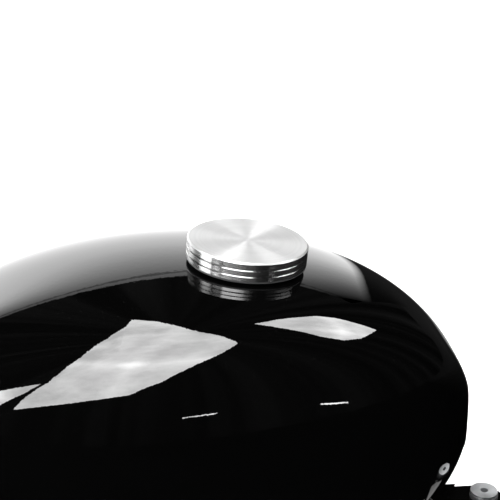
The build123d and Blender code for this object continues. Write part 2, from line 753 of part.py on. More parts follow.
with BuildPart() as pump_cradle:
    # Ring that grips the pump
    with BuildSketch(Plane.XY.offset(CRADLE_BOTTOM)):
        with Locations(pump_centre):
            Circle(PUMP_RADIUS + CRADLE_WALL)
            Circle(PUMP_RADIUS, mode=Mode.SUBTRACT)
    extrude(amount=CRADLE_HEIGHT)
    # Post up from the flange, level with the ring
    with BuildSketch(Plane.XY.offset(flange_top)):
        with Locations((PUMP_X, PUMP_Y - PUMP_RADIUS - 4.4)):
            Rectangle(12.0, 4.4)
    extrude(amount=CRADLE_BOTTOM + CRADLE_HEIGHT - flange_top)
    # Arm that carries the level sender
    with BuildSketch(Plane.XY.offset(CRADLE_BOTTOM + CRADLE_HEIGHT)):
        with Locations((PUMP_X + 15.0, sender_plate_y + SENDER_PLATE + CRADLE_ARM / 2)):
            Rectangle(42.0, CRADLE_ARM)
    extrude(amount=-10.0)

with BuildPart() as pump_strainer:
    with BuildSketch(Plane.XY.offset(STRAINER_BOTTOM)):
        with Locations((PUMP_X - 3.0, PUMP_Y)):
            RectangleRounded(34.0, 30.0, 12.0)
    extrude(amount=STRAINER_THICKNESS)
    fillet(pump_strainer.edges().filter_by(GeomType.LINE).group_by(Axis.Z)[-1], radius=1.5)
    with BuildSketch(Plane.XY.offset(PUMP_BOTTOM)):
        with Locations(pump_centre):
            Circle(5.0)
    extrude(amount=STRAINER_BOTTOM + STRAINER_THICKNESS - PUMP_BOTTOM)

with BuildPart() as fuel_regulator:
    with BuildSketch(Plane.XZ.offset(-PUMP_Y)):
        with BuildLine():
            Polyline(
                (REGULATOR_X, flange_top + 10.0),
                (REGULATOR_X + 4.0, flange_top + 10.0),
                (REGULATOR_X + 4.0, REGULATOR_BOTTOM),
                (REGULATOR_X + REGULATOR_RADIUS, REGULATOR_BOTTOM),
                (REGULATOR_X + REGULATOR_RADIUS, REGULATOR_BOTTOM + 11.0),
                (REGULATOR_X + REGULATOR_RADIUS + 2.0, REGULATOR_BOTTOM + 11.0),
                (REGULATOR_X + REGULATOR_RADIUS + 2.0, REGULATOR_BOTTOM + 13.0),
                (REGULATOR_X + REGULATOR_RADIUS, REGULATOR_BOTTOM + 13.0),
                (REGULATOR_X + REGULATOR_RADIUS, REGULATOR_TOP),
                (REGULATOR_X + HOSE_BORE, REGULATOR_TOP),
                (REGULATOR_X + HOSE_BORE, REGULATOR_TOP + 10.0),
                (REGULATOR_X, REGULATOR_TOP + 10.0),
                close=True,
            )
        make_face()
    revolve(axis=Axis((REGULATOR_X, PUMP_Y, 0), (0, 0, 1)))

with BuildPart() as pump_hose:
    with BuildLine() as hose_path:
        Line((PUMP_X, PUMP_Y, PUMP_TOP), (PUMP_X, PUMP_Y, PUMP_TOP + 14.0))
        ThreePointArc(
            (PUMP_X, PUMP_Y, PUMP_TOP + 14.0),
            ((PUMP_X + REGULATOR_X) / 2, PUMP_Y, PUMP_TOP + 14.0 + (REGULATOR_X - PUMP_X) / 2),
            (REGULATOR_X, PUMP_Y, PUMP_TOP + 14.0),
        )
        Line((REGULATOR_X, PUMP_Y, PUMP_TOP + 14.0), (REGULATOR_X, PUMP_Y, REGULATOR_TOP))
    with BuildSketch(Plane.XY.offset(PUMP_TOP)):
        with Locations(pump_centre):
            Circle(HOSE_RADIUS)
            Circle(HOSE_BORE, mode=Mode.SUBTRACT)
    sweep(path=hose_path.line)

# ---------------------------------------------------------------- level sender

with BuildPart() as level_sender:
    with BuildSketch(Plane.XZ.offset(-sender_plate_y)):
        with Locations((FLOAT_PIVOT_X, FLOAT_PIVOT_Z - 4.0)):
            RectangleRounded(26.0, 38.0, 4.0)
    extrude(amount=-SENDER_PLATE)
    with BuildSketch(Plane.XZ.offset(-sender_plate_y)):
        with Locations((FLOAT_PIVOT_X, FLOAT_PIVOT_Z)):
            Circle(2.0)
    extrude(amount=8.0)
    with BuildSketch(Plane.XZ.offset(-sender_plate_y + 7.2)):
        with Locations((FLOAT_PIVOT_X, FLOAT_PIVOT_Z)):
            Circle(3.4)
    extrude(amount=0.8)

with BuildPart() as float_arm:
    with BuildSketch(Plane.XZ.offset(-FLOAT_ARM_Y - 2.6)):
        with Locations((FLOAT_PIVOT_X, FLOAT_PIVOT_Z)):
            Circle(6.0)
            Circle(2.06, mode=Mode.SUBTRACT)
    extrude(amount=6.4)
    with BuildLine() as wire_path:
        FilletPolyline(
            (FLOAT_PIVOT_X + 4.5, FLOAT_ARM_Y, FLOAT_PIVOT_Z),
            (FLOAT_PIVOT_X + FLOAT_ARM_LENGTH, FLOAT_ARM_Y, FLOAT_PIVOT_Z),
            (FLOAT_PIVOT_X + FLOAT_ARM_LENGTH, FLOAT_ARM_Y + FLOAT_LENGTH + 6.0, FLOAT_PIVOT_Z),
            radius=5.0,
        )
    with BuildSketch(Plane(origin=wire_path.line @ 0, z_dir=wire_path.line % 0)):
        Circle(WIRE_RADIUS)
    sweep(path=wire_path.line)

with BuildPart() as level_float:
    float_start = FLOAT_ARM_Y + 5.0
    with BuildSketch(Plane.XZ.offset(-float_start)):
        with Locations((FLOAT_PIVOT_X + FLOAT_ARM_LENGTH, FLOAT_PIVOT_Z)):
            Circle(FLOAT_RADIUS)
    extrude(amount=-FLOAT_LENGTH)
    fillet(level_float.edges(), radius=2.5)
    with BuildSketch(Plane.XZ.offset(-float_start)):
        with Locations((FLOAT_PIVOT_X + FLOAT_ARM_LENGTH, FLOAT_PIVOT_Z)):
            Circle(WIRE_RADIUS)
    extrude(amount=-FLOAT_LENGTH, mode=Mode.SUBTRACT)

# ---------------------------------------------------------------- vent and overflow


def pipe_path(start, knee):
    """Return the bent line of a pipe from start, over a knee, down through the base."""
    with BuildLine() as path:
        FilletPolyline(
            start,
            knee,
            (knee.X, PIPE_BOTTOM_Y, knee.Z - 40.0),
            (knee.X, PIPE_BOTTOM_Y, PIPE_BOTTOM_Z),
            radius=12.0,
        )
    return path.line


def pipe(path, outer_radius):
    """Return a thin pipe swept along a path."""
    with BuildPart() as tube:
        with BuildSketch(Plane(origin=path @ 0, z_dir=path % 0)):
            Circle(outer_radius)
            Circle(outer_radius - PIPE_WALL, mode=Mode.SUBTRACT)
        sweep(path=path)
    return tube.part


vent_start = Vector(VENT_X, VENT_TOP_Y, VALVE_BOTTOM)
vent_knee = Vector(VENT_X, VENT_TOP_Y, VALVE_BOTTOM - 27.0)

with BuildPart() as overflow_pipe:
    add(pipe(pipe_path(overflow_start, overflow_knee), OVERFLOW_PIPE_RADIUS))

with BuildPart() as vent_pipe:
    add(pipe(pipe_path(vent_start, vent_knee), VENT_PIPE_RADIUS))

valve_place = Location((VENT_X, VENT_TOP_Y, 0))

with BuildPart() as vent_valve_body:
    with BuildSketch(Plane.XY.offset(VALVE_BOTTOM)):
        with Locations(valve_place):
            Circle(VALVE_RADIUS)
    extrude(amount=VALVE_SHOULDER - VALVE_BOTTOM)
    with BuildSketch(Plane.XY.offset(VALVE_FLOOR)):
        with Locations(valve_place):
            Circle(BALL_RADIUS + 0.7)
    extrude(amount=VALVE_SHOULDER - VALVE_FLOOR, mode=Mode.SUBTRACT)
    with BuildSketch(Plane.XY.offset(VALVE_BOTTOM)):
        with Locations(valve_place):
            Circle(2.2)
    extrude(amount=VALVE_FLOOR - VALVE_BOTTOM, mode=Mode.SUBTRACT)
    with BuildSketch(Plane.XY.offset(VALVE_FLOOR - 1.5)):
        with Locations(valve_place):
            Rectangle(9.0, 1.6)
            Rectangle(1.6, 9.0)
    extrude(amount=1.5, mode=Mode.SUBTRACT)

with BuildPart() as vent_valve_lid:
    with BuildSketch(Plane.XY.offset(VALVE_SHOULDER)):
        with Locations(valve_place):
            Circle(VALVE_RADIUS)
            Circle(3.0, mode=Mode.SUBTRACT)
    extrude(amount=VALVE_TOP - VALVE_SHOULDER)
    chamfer(vent_valve_lid.edges().sort_by(Axis.Z)[-2:].sort_by(SortBy.RADIUS)[-1], length=1.0)

with BuildPart() as vent_valve_ball:
    with Locations((VENT_X, VENT_TOP_Y, BALL_REST_Z)):
        Sphere(BALL_RADIUS)

pipe_ends = [(VENT_X, VENT_PIPE_RADIUS), (overflow_x, OVERFLOW_PIPE_RADIUS)]

with BuildPart() as drain_hoses:
    for end_x, radius in pipe_ends:
        with BuildLine() as drain_path:
            Line((end_x, PIPE_BOTTOM_Y, 0), (end_x, PIPE_BOTTOM_Y, PIPE_BOTTOM_Z - 4.0))
            RadiusArc(
                (end_x, PIPE_BOTTOM_Y, PIPE_BOTTOM_Z - 4.0),
                (end_x - 14.0, PIPE_BOTTOM_Y, PIPE_BOTTOM_Z - 38.0),
                50.0,
            )
        with BuildSketch(Plane.XY):
            with Locations((end_x, PIPE_BOTTOM_Y)):
                Circle(radius + 2.0)
                Circle(radius, mode=Mode.SUBTRACT)
        sweep(path=drain_path.line)

with BuildPart() as hose_clips:
    for end_x, radius in pipe_ends:
        with BuildSketch(Plane.XY.offset(-10.0)):
            with Locations((end_x, PIPE_BOTTOM_Y)):
                Circle(radius + 2.8)
                with Locations((0, -radius - 5.0)):
                    Rectangle(3.4, 7.0)
                Circle(radius + 2.0, mode=Mode.SUBTRACT)
        extrude(amount=5.0)

# ---------------------------------------------------------------- export

nodes = {
    "tank_shell": tank_shell,
    "tank_base": tank_base,
    "slosh_baffle": slosh_baffle,
    "filler_neck": filler_neck,
    "cap_cover": cap_cover,
    "cap_plug": cap_plug,
    "cap_screws": cap_screws,
    "vent_umbrella": vent_umbrella,
    "cap_o_ring": cap_o_ring,
    "cap_seal_ring": cap_seal_ring,
    "front_mount_ears": front_mount_ears,
    "rear_mount_tab": rear_mount_tab,
    "front_grommets": front_grommets,
    "front_collars": front_collars,
    "rear_grommet": rear_grommet,
    "rear_collar": rear_collar,
    "tunnel_pads": tunnel_pads,
    "pump_weld_ring": pump_weld_ring,
    "pump_gasket": pump_gasket,
    "pump_flange": pump_flange,
    "pump_terminals": pump_terminals,
    "fuel_outlet": fuel_outlet,
    "pump_screws": pump_screws,
    "pump_body": pump_body,
    "pump_cradle": pump_cradle,
    "pump_strainer": pump_strainer,
    "fuel_regulator": fuel_regulator,
    "pump_hose": pump_hose,
    "level_sender": level_sender,
    "float_arm": float_arm,
    "level_float": level_float,
    "overflow_pipe": overflow_pipe,
    "vent_pipe": vent_pipe,
    "vent_valve_body": vent_valve_body,
    "vent_valve_lid": vent_valve_lid,
    "vent_valve_ball": vent_valve_ball,
    "drain_hoses": drain_hoses,
    "hose_clips": hose_clips,
}

os.makedirs("parts", exist_ok=True)
for name, node in nodes.items():
    node.part.label = name
    export_step(node.part, f"parts/{name}.step")
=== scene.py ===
"""Looks of a gloss black motorcycle fuel tank with a turned aluminium screw cap.

Metres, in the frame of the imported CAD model: +X towards the front of the bike, +Y left, +Z up.
The tank's skin and the cap's cover are rebuilt here as clean meshes, because both mirror the studio.
"""

import json
from math import cos, pi, radians, sin, sqrt

import bmesh
import bpy
import numpy as np
from mathutils import Matrix, Vector


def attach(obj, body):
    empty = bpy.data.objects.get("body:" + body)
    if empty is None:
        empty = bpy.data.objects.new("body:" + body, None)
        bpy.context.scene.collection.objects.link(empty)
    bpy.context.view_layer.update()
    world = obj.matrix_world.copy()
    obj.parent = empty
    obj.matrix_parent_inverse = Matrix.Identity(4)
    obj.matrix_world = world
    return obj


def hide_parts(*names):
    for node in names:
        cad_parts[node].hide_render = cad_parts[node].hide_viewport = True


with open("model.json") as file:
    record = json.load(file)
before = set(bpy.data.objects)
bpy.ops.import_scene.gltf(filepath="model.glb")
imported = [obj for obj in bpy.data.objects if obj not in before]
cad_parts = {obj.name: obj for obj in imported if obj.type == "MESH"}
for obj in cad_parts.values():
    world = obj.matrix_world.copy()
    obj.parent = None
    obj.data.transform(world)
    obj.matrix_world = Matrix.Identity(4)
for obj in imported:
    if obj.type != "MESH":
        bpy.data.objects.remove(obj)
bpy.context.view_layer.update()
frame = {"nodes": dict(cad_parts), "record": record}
nodes = frame["nodes"]

# ---------------------------------------------------------------- form of the tank, metres

NOSE_X = -0.004
TAIL_X = -0.500
CREST_X = -0.250
WIDEST_X = -0.285
WAIST_Z = 0.066
CROWN_HEIGHT = 0.148
BELLY_DEPTH = 0.150
HALF_WIDTH = 0.160
FRONT_ROUNDNESS = 0.38
FRONT_POWER = 2.4
REAR_ROUNDNESS = 0.70
REAR_POWER = 9.0
PLAN_REAR_ROUNDNESS = 0.90
PLAN_REAR_POWER = 4.0
CROWN_ROUNDNESS = 0.10
CROWN_POWER = 4.5
SHEET = 0.0012
SEAM_Z = 0.009
SEAM_BEND_X = -0.280
SEAM_MIDDLE = (-0.400, 0.027)
SEAM_REAR = (-0.540, 0.066)
TUNNEL_HALF_WIDTH = 0.042
TUNNEL_TOP_Z = 0.100
TUNNEL_CORNER = 0.028
NECK_FLANGE_RADIUS = 0.039
LIP_WIDTH = 0.006
LIP_EDGE = 0.0003
LIP_TUCK = 0.0006
LIP_TUNNEL_GAP = 0.001
WELD_BEAD = 0.0022
STATIONS = 220
ACROSS = 120
DOWN = 36
LIP_STATIONS = 400

CAP_X = -0.200
CAP_LEAN = radians(5.2)
CAP_RADIUS = 0.050
CAP_HEIGHT = 0.016
CAP_GAP = 0.0024
CAP_TOP = CAP_GAP + CAP_HEIGHT
CAP_CHAMFER = 0.0012
CAP_BOTTOM_BREAK = 0.0004
CAP_RECESS_RADIUS = 0.030
CAP_RECESS_TOP = 0.0084
GROOVE_COUNT = 2
GROOVE_WIDTH = 0.0010
GROOVE_DEPTH = 0.0012
GROOVE_SLOPE = 0.0005
GROOVE_EDGE_BREAK = 0.0001


def softened(t, roundness, power):
    """1 at t = 0 and 0 at t = 1: an ellipse when roundness is 1, flatter over the middle below that."""
    t = np.abs(t)
    return np.sqrt(np.maximum(0.0, 1.0 - roundness * t**2 - (1.0 - roundness) * t**power))


def height_ratio(x):
    """Share of the full crown height and belly depth that the tank has at x."""
    front = softened((x - CREST_X) / (NOSE_X - CREST_X), FRONT_ROUNDNESS, FRONT_POWER)
    rear = softened((x - CREST_X) / (TAIL_X - CREST_X), REAR_ROUNDNESS, REAR_POWER)
    return np.where(x > CREST_X, front, rear)


def width_ratio(x):
    """Share of the full half width that the tank has at x."""
    front = softened((x - WIDEST_X) / (NOSE_X - WIDEST_X), 1.0, 2.0)
    rear = softened((x - WIDEST_X) / (TAIL_X - WIDEST_X), PLAN_REAR_ROUNDNESS, PLAN_REAR_POWER)
    return np.where(x > WIDEST_X, front, rear)


def outline_value(points):
    """Negative inside the tank's outer form, zero on it and positive outside."""
    x, y, z = points[:, 0], points[:, 1], points[:, 2]
    height = np.maximum(height_ratio(x), 1e-4)
    across = np.abs(y) / np.maximum(HALF_WIDTH * width_ratio(x), 1e-5)
    above = z - WAIST_Z
    crown_share = CROWN_ROUNDNESS * across**2 + (1.0 - CROWN_ROUNDNESS) * across**CROWN_POWER
    upper = (above / (CROWN_HEIGHT * height)) ** 2 + crown_share - 1.0
    lower = (above / (BELLY_DEPTH * height)) ** 2 + across**2 - 1.0
    return np.where(above > 0, upper, lower)


def outline_normals(points):
    """Outward unit normals of the tank's outer form at points on it."""
    step = 2e-5
    slope = np.zeros_like(points)
    for axis in range(3):
        shift = np.zeros(3)
        shift[axis] = step
        slope[:, axis] = outline_value(points + shift) - outline_value(points - shift)
    length = np.linalg.norm(slope, axis=1, keepdims=True)
    return slope / np.maximum(length, 1e-12)


def seam_height(x):
    """Height of the bottom seam at x: level at the front, rising to the tail."""
    span = SEAM_BEND_X - SEAM_REAR[0]
    t = np.clip((SEAM_BEND_X - x) / span, 0.0, 1.0)
    middle_t = (SEAM_BEND_X - SEAM_MIDDLE[0]) / span
    rise = SEAM_REAR[1] - SEAM_Z
    middle_rise = SEAM_MIDDLE[1] - SEAM_Z
    # A quadratic and a cubic share that pass through the middle and rear points and start level
    cubic = (middle_rise - rise * middle_t**2) / (middle_t**3 - middle_t**2)
    return SEAM_Z + (rise - cubic) * t**2 + cubic * t**3


crown_at_cap = WAIST_Z + CROWN_HEIGHT * float(height_ratio(np.array([CAP_X]))[0])
cap_origin = Vector((CAP_X, 0, crown_at_cap))
cap_up = Vector((sin(CAP_LEAN), 0, cos(CAP_LEAN)))
cap_forward = Vector((cos(CAP_LEAN), 0, -sin(CAP_LEAN)))
cap_left = cap_up.cross(cap_forward)
cap_frame = Matrix.Identity(4)
for column, direction in enumerate((cap_forward, cap_left, cap_up, cap_origin)):
    for row in range(3):
        cap_frame[row][column] = direction[row]

# ---------------------------------------------------------------- shader helpers


class Shader:
    """The node tree of a new material or world, with short calls for the nodes used below."""

    def __init__(self, name, world=False):
        self.block = bpy.data.worlds.new(name) if world else bpy.data.materials.new(name)
        self.block.use_nodes = True
        self.tree = self.block.node_tree
        self.tree.nodes.clear()
        self.output = self.add("ShaderNodeOutputWorld" if world else "ShaderNodeOutputMaterial")

    def add(self, kind, **settings):
        node = self.tree.nodes.new(kind)
        for key, value in settings.items():
            setattr(node, key, value)
        return node

    def link(self, source, target):
        self.tree.links.new(source, target)

    def feed(self, target, value):
        """Set an input to a number or colour, or link another node's output to it."""
        if isinstance(value, bpy.types.NodeSocket):
            self.link(value, target)
        else:
            target.default_value = value

    def maths(self, operation, first, second=0.0):
        node = self.add("ShaderNodeMath", operation=operation)
        self.feed(node.inputs[0], first)
        self.feed(node.inputs[1], second)
        return node.outputs[0]

    def vector(self, operation, first, second=None, output="Vector"):
        node = self.add("ShaderNodeVectorMath", operation=operation)
        self.feed(node.inputs[0], first)
        if second is not None:
            self.feed(node.inputs[1], second)
        return node.outputs[output]

    def split(self, vector):
        """The X, Y and Z outputs of a vector."""
        node = self.add("ShaderNodeSeparateXYZ")
        self.link(vector, node.inputs[0])
        return node.outputs

    def combine(self, x, y):
        """Vector with the given X and Y, and Z left at nought."""
        node = self.add("ShaderNodeCombineXYZ")
        self.link(x, node.inputs["X"])
        self.link(y, node.inputs["Y"])
        return node.outputs[0]

    def choose(self, amount, first, second):
        """Mix two shaders: the first where amount is 0, the second where it is 1."""
        node = self.add("ShaderNodeMixShader")
        self.link(amount, node.inputs[0])
        self.link(first, node.inputs[1])
        self.link(second, node.inputs[2])
        return node.outputs[0]

    def emission(self, strength):
        node = self.add("ShaderNodeEmission")
        self.link(strength, node.inputs["Strength"])
        return node.outputs[0]

    def finish(self, shader):
        self.link(shader, self.output.inputs[0])

    def position(self):
        """Object coordinates, in metres."""
        return self.add("ShaderNodeTexCoord").outputs["Object"]

    def noise(self, vector, scale, detail=3.0, roughness=0.5):
        node = self.add("ShaderNodeTexNoise")
        self.link(vector, node.inputs["Vector"])
        node.inputs["Scale"].default_value = scale
        node.inputs["Detail"].default_value = detail
        node.inputs["Roughness"].default_value = roughness
        return node.outputs["Fac"]

    def spread(self, value, low_in, high_in, low_out, high_out):
        """Map a value from one range to another, clamped."""
        node = self.add("ShaderNodeMapRange")
        self.link(value, node.inputs["Value"])
        limits = {"From Min": low_in, "From Max": high_in, "To Min": low_out, "To Max": high_out}
        for key, number in limits.items():
            self.feed(node.inputs[key], number)
        return node.outputs["Result"]

    def mix(self, amount, first, second):
        node = self.add("ShaderNodeMix", data_type="RGBA")
        self.feed(node.inputs["Factor"], amount)
        self.feed(node.inputs[6], first)
        self.feed(node.inputs[7], second)
        return node.outputs[2]

    def bump(self, height, distance, strength=1.0, normal=None):
        node = self.add("ShaderNodeBump")
        self.link(height, node.inputs["Height"])
        node.inputs["Distance"].default_value = distance
        node.inputs["Strength"].default_value = strength
        if normal is not None:
            self.link(normal, node.inputs["Normal"])
        return node.outputs["Normal"]

    def principled(self, **inputs):
        node = self.add("ShaderNodeBsdfPrincipled")
        for key, value in inputs.items():
            self.feed(node.inputs[key.replace("_", " ")], value)
        self.finish(node.outputs[0])
        return node


def colour(red, green, blue):
    return (red, green, blue, 1.0)


def grey(level):
    return colour(level, level, level)


# ---------------------------------------------------------------- materials

FACE_LOWEST_Z = CAP_TOP - CAP_CHAMFER + 0.00005
FACE_EXTRA_ROUGHNESS = 0.14
# Share of the paler shine on the face and chamfer; its paler tint is a painted highlight.
FACE_PAINTED_PALER_SHARE = 0.63
FACE_SPIRAL = 0.02
QUARTER_TURN = 0.25


def gloss_black_paint():
    """Black lacquer: mirror-smooth clear coat with the faintest orange peel and a few specks of dust."""
    s = Shader("gloss_black_paint")
    where = s.position()
    peel = s.noise(where, scale=260.0, detail=2.0)
    slow = s.noise(where, scale=14.0, detail=2.0)
    dust = s.spread(s.noise(where, scale=900.0, detail=1.0), 0.74, 0.80, 0.0, 1.0)
    normal = s.bump(peel, 0.000012)
    tint = s.mix(dust, grey(0.0004), grey(0.006))
    s.principled(
        Base_Color=tint,
        Roughness=s.spread(slow, 0.3, 0.7, 0.20, 0.30),
        Specular_IOR_Level=0.0,
        Coat_Weight=1.0,
        Coat_Roughness=s.spread(slow, 0.3, 0.7, 0.004, 0.012),
        Coat_IOR=1.52,
        Coat_Normal=normal,
    )
    return s.block


def turned_aluminium():
    """Billet aluminium turned on a lathe: rings round the axis, so highlights fan out from the centre. The
    face and chamfer also mix in a paler, rougher shine, which is a painted highlight.
    """
    s = Shader("turned_aluminium")
    where = s.position()
    axes = s.split(where)
    radius = s.vector("LENGTH", s.combine(axes["X"], axes["Y"]), output="Value")
    rings = s.combine(radius, axes["Z"])
    fine = s.noise(rings, scale=2600.0, detail=2.0, roughness=0.5)
    coarse = s.spread(s.noise(rings, scale=420.0, detail=2.0), 0.35, 0.65, 0.0, 1.0)
    handled = s.noise(where, scale=40.0, detail=3.0)
    normal = s.bump(fine, 0.0000006)
    tint = s.mix(coarse, grey(0.39), grey(0.41))
    # The face and its chamfer get a paler tint than the side: a painted highlight standing for the brighter
    # light on the top.
    face_tint_painted_paler = s.mix(coarse, grey(0.49), grey(0.52))
    tangent = s.add("ShaderNodeTangent", direction_type="RADIAL", axis="Z")
    on_face = s.maths("GREATER_THAN", axes["Z"], FACE_LOWEST_Z)
    side_roughness = s.spread(handled, 0.3, 0.7, 0.23, 0.26)
    ring_roughness = s.maths("ADD", s.maths("MULTIPLY", on_face, FACE_EXTRA_ROUGHNESS), side_roughness)
    # The marks on the face run as a shallow spiral, and those on the side as plain rings.
    lay = s.maths("ADD", s.maths("MULTIPLY", on_face, FACE_SPIRAL), QUARTER_TURN)
    rings_shine = s.principled(
        Base_Color=tint,
        Metallic=1.0,
        Roughness=ring_roughness,
        Anisotropic=0.95,
        Anisotropic_Rotation=lay,
        Tangent=tangent.outputs[0],
        Normal=normal,
    )
    soft_shine_painted_paler = s.principled(
        Base_Color=face_tint_painted_paler,
        Metallic=1.0,
        Roughness=s.spread(handled, 0.3, 0.7, 0.50, 0.58),
        Normal=normal,
    )
    # Mix the paler, rougher shine into the face and chamfer: painted highlight.
    painted_paler_share = s.maths("MULTIPLY", on_face, FACE_PAINTED_PALER_SHARE)
    s.finish(s.choose(painted_paler_share, rings_shine.outputs[0], soft_shine_painted_paler.outputs[0]))
    return s.block


def metal(name, tint, roughness, grain_scale, grain_depth, wear):
    """Plated or anodised metal with fine grain and patchy sheen."""
    s = Shader(name)
    where = s.position()
    patches = s.noise(where, scale=60.0, detail=4.0)
    grain = s.noise(where, scale=grain_scale, detail=3.0)
    worn = tuple(min(1.0, channel + wear) for channel in tint)
    s.principled(
        Base_Color=s.mix(s.spread(patches, 0.35, 0.75, 0.0, 1.0), colour(*tint), colour(*worn)),
        Metallic=1.0,
        Roughness=s.spread(patches, 0.3, 0.7, roughness * 0.8, roughness * 1.25),
        Normal=s.bump(grain, grain_depth),
    )
    return s.block


def moulded(name, tint, roughness, grain_scale, grain_depth, bloom):
    """Moulded rubber or plastic with a fine skin grain and a paler bloom in patches."""
    s = Shader(name)
    where = s.position()
    patches = s.noise(where, scale=35.0, detail=5.0, roughness=0.6)
    grain = s.noise(where, scale=grain_scale, detail=4.0, roughness=0.6)
    paler = tuple(min(1.0, channel + bloom) for channel in tint)
    s.principled(
        Base_Color=s.mix(s.spread(patches, 0.4, 0.8, 0.0, 1.0), colour(*tint), colour(*paler)),
        Roughness=s.spread(patches, 0.3, 0.7, roughness * 0.85, min(1.0, roughness * 1.15)),
        Normal=s.bump(grain, grain_depth),
    )
    return s.block


# Tint, roughness, scale and depth of the grain, and how much paler the worn patches are.
METALS = {
    "black_anodised": ((0.035, 0.035, 0.04), 0.38, 1500.0, 0.00001, 0.02),
    "steel": ((0.52, 0.53, 0.54), 0.34, 900.0, 0.00002, 0.08),
    "stainless": ((0.66, 0.65, 0.63), 0.22, 1300.0, 0.00001, 0.08),
    "pump_case": ((0.60, 0.60, 0.61), 0.30, 800.0, 0.00001, 0.08),
    "brass": ((0.75, 0.58, 0.30), 0.28, 1200.0, 0.00001, 0.08),
}
# Tint, roughness, scale and depth of the grain, and how much paler the bloom is.
MOULDINGS = {
    "black_rubber": ((0.018, 0.018, 0.019), 0.62, 1100.0, 0.00004, 0.012),
    "foam_rubber": ((0.04, 0.04, 0.04), 0.92, 420.0, 0.0003, 0.02),
    "black_nylon": ((0.025, 0.025, 0.028), 0.46, 1400.0, 0.00003, 0.01),
    "natural_nylon": ((0.74, 0.70, 0.60), 0.48, 1200.0, 0.00003, 0.06),
}
materials = {"gloss_black_paint": gloss_black_paint(), "turned_aluminium": turned_aluminium()}
for name, looks in METALS.items():
    materials[name] = metal(name, *looks)
for name, looks in MOULDINGS.items():
    materials[name] = moulded(name, *looks)

slot_of_node = {entry["node"]: entry["material_slot"] for entry in frame["record"]["subparts"]}
for name, node in nodes.items():
    node.data.materials.clear()
    node.data.materials.append(materials[slot_of_node[name]])

# ---------------------------------------------------------------- mesh helpers


def new_object(name, points, faces):
    """Link a new mesh object and return it."""
    mesh = bpy.data.meshes.new(name)
    mesh.from_pydata([tuple(p) for p in points], [], faces)
    mesh.update()
    thing = bpy.data.objects.new(name, mesh)
    bpy.context.scene.collection.objects.link(thing)
    return thing


def grid_faces(rows, columns, closed=False):
    """Quads of a grid of points stored row by row, joined round from last column to first if closed."""
    faces = []
    for row in range(rows - 1):
        for column in range(columns if closed else columns - 1):
            beside = (column + 1) % columns
            faces.append(
                (
                    row * columns + column,
                    row * columns + beside,
                    (row + 1) * columns + beside,
                    (row + 1) * columns + column,
                )
            )
    return faces


def merge_close(thing, distance):
    """Weld points that lie together and make the normals point outwards."""
    edit = bmesh.new()
    edit.from_mesh(thing.data)
    bmesh.ops.remove_doubles(edit, verts=edit.verts, dist=distance)
    bmesh.ops.dissolve_degenerate(edit, edges=edit.edges, dist=distance / 10)
    bmesh.ops.recalc_face_normals(edit, faces=edit.faces)
    edit.to_mesh(thing.data)
    edit.free()


def apply_modifiers(thing):
    """Turn an object's modifiers into plain mesh."""
    bpy.context.view_layer.update()
    evaluated = thing.evaluated_get(bpy.context.evaluated_depsgraph_get())
    final = bpy.data.meshes.new_from_object(evaluated)
    thing.modifiers.clear()
    thing.data = final


def cut_away(thing, cutter):
    """Subtract a closed cutter from an object and remove the cutter."""
    modifier = thing.modifiers.new("cut", "BOOLEAN")
    modifier.operation = "DIFFERENCE"
    modifier.solver = "EXACT"
    modifier.object = cutter
    apply_modifiers(thing)
    bpy.data.objects.remove(cutter)


def smooth(thing):
    thing.data.shade_smooth()


# ---------------------------------------------------------------- tank skin

TUNNEL_CORNER_STEPS = 12
TUNNEL_CUT_BOTTOM = -0.1
TUNNEL_CUT_OVERRUN = 0.05
NECK_CUT_STEPS = 160
NECK_CUT_REACH = 0.02
FORM_TOLERANCE = 2e-3
NORMALS_AGREE = 0.8


def section_points(x):
    """Points of the tank's skin at x, from its right-hand seam over the crown to its left-hand seam."""
    ratio = float(height_ratio(np.array([x]))[0])
    half_width = HALF_WIDTH * float(width_ratio(np.array([x]))[0])
    crown_height = CROWN_HEIGHT * ratio
    belly = max(BELLY_DEPTH * ratio, 1e-6)
    seam_top = float(seam_height(np.array([x]))[0]) + SHEET
    reach = min(1.0, max(0.0, (WAIST_Z - seam_top) / belly))
    lowest = np.arcsin(reach)
    below = [lowest * (1.0 - step / DOWN) for step in range(DOWN)]
    right = [(x, -half_width * cos(angle), WAIST_Z - belly * sin(angle)) for angle in below]
    over = []
    for step in range(ACROSS + 1):
        share = sin(pi * (step / ACROSS - 0.5))
        rise = crown_height * float(softened(share, CROWN_ROUNDNESS, CROWN_POWER))
        over.append((x, half_width * share, WAIST_Z + rise))
    left = [(px, -py, pz) for px, py, pz in reversed(right)]
    return right + over + left


def tunnel_cutter():
    """Closed round-cornered bar, as wide as the tunnel's outside, that runs past both ends of the tank."""
    half_width = TUNNEL_HALF_WIDTH + SHEET
    top = TUNNEL_TOP_Z + SHEET
    corner = TUNNEL_CORNER + SHEET
    arc = [pi / 2 * step / TUNNEL_CORNER_STEPS for step in range(TUNNEL_CORNER_STEPS + 1)]
    outline = [(half_width - corner + corner * cos(a), top - corner + corner * sin(a)) for a in arc]
    outline += [(-y, z) for y, z in reversed(outline)]
    outline += [(-half_width, TUNNEL_CUT_BOTTOM), (half_width, TUNNEL_CUT_BOTTOM)]
    ends = (TAIL_X - TUNNEL_CUT_OVERRUN, NOSE_X + TUNNEL_CUT_OVERRUN)
    points = [(x, y, z) for x in ends for y, z in outline]
    count = len(outline)
    faces = grid_faces(2, count, closed=True)
    faces += [tuple(range(count)), tuple(range(2 * count - 1, count - 1, -1))]
    cutter = new_object("tunnel_cutter", points, faces)
    merge_close(cutter, 1e-6)
    return cutter


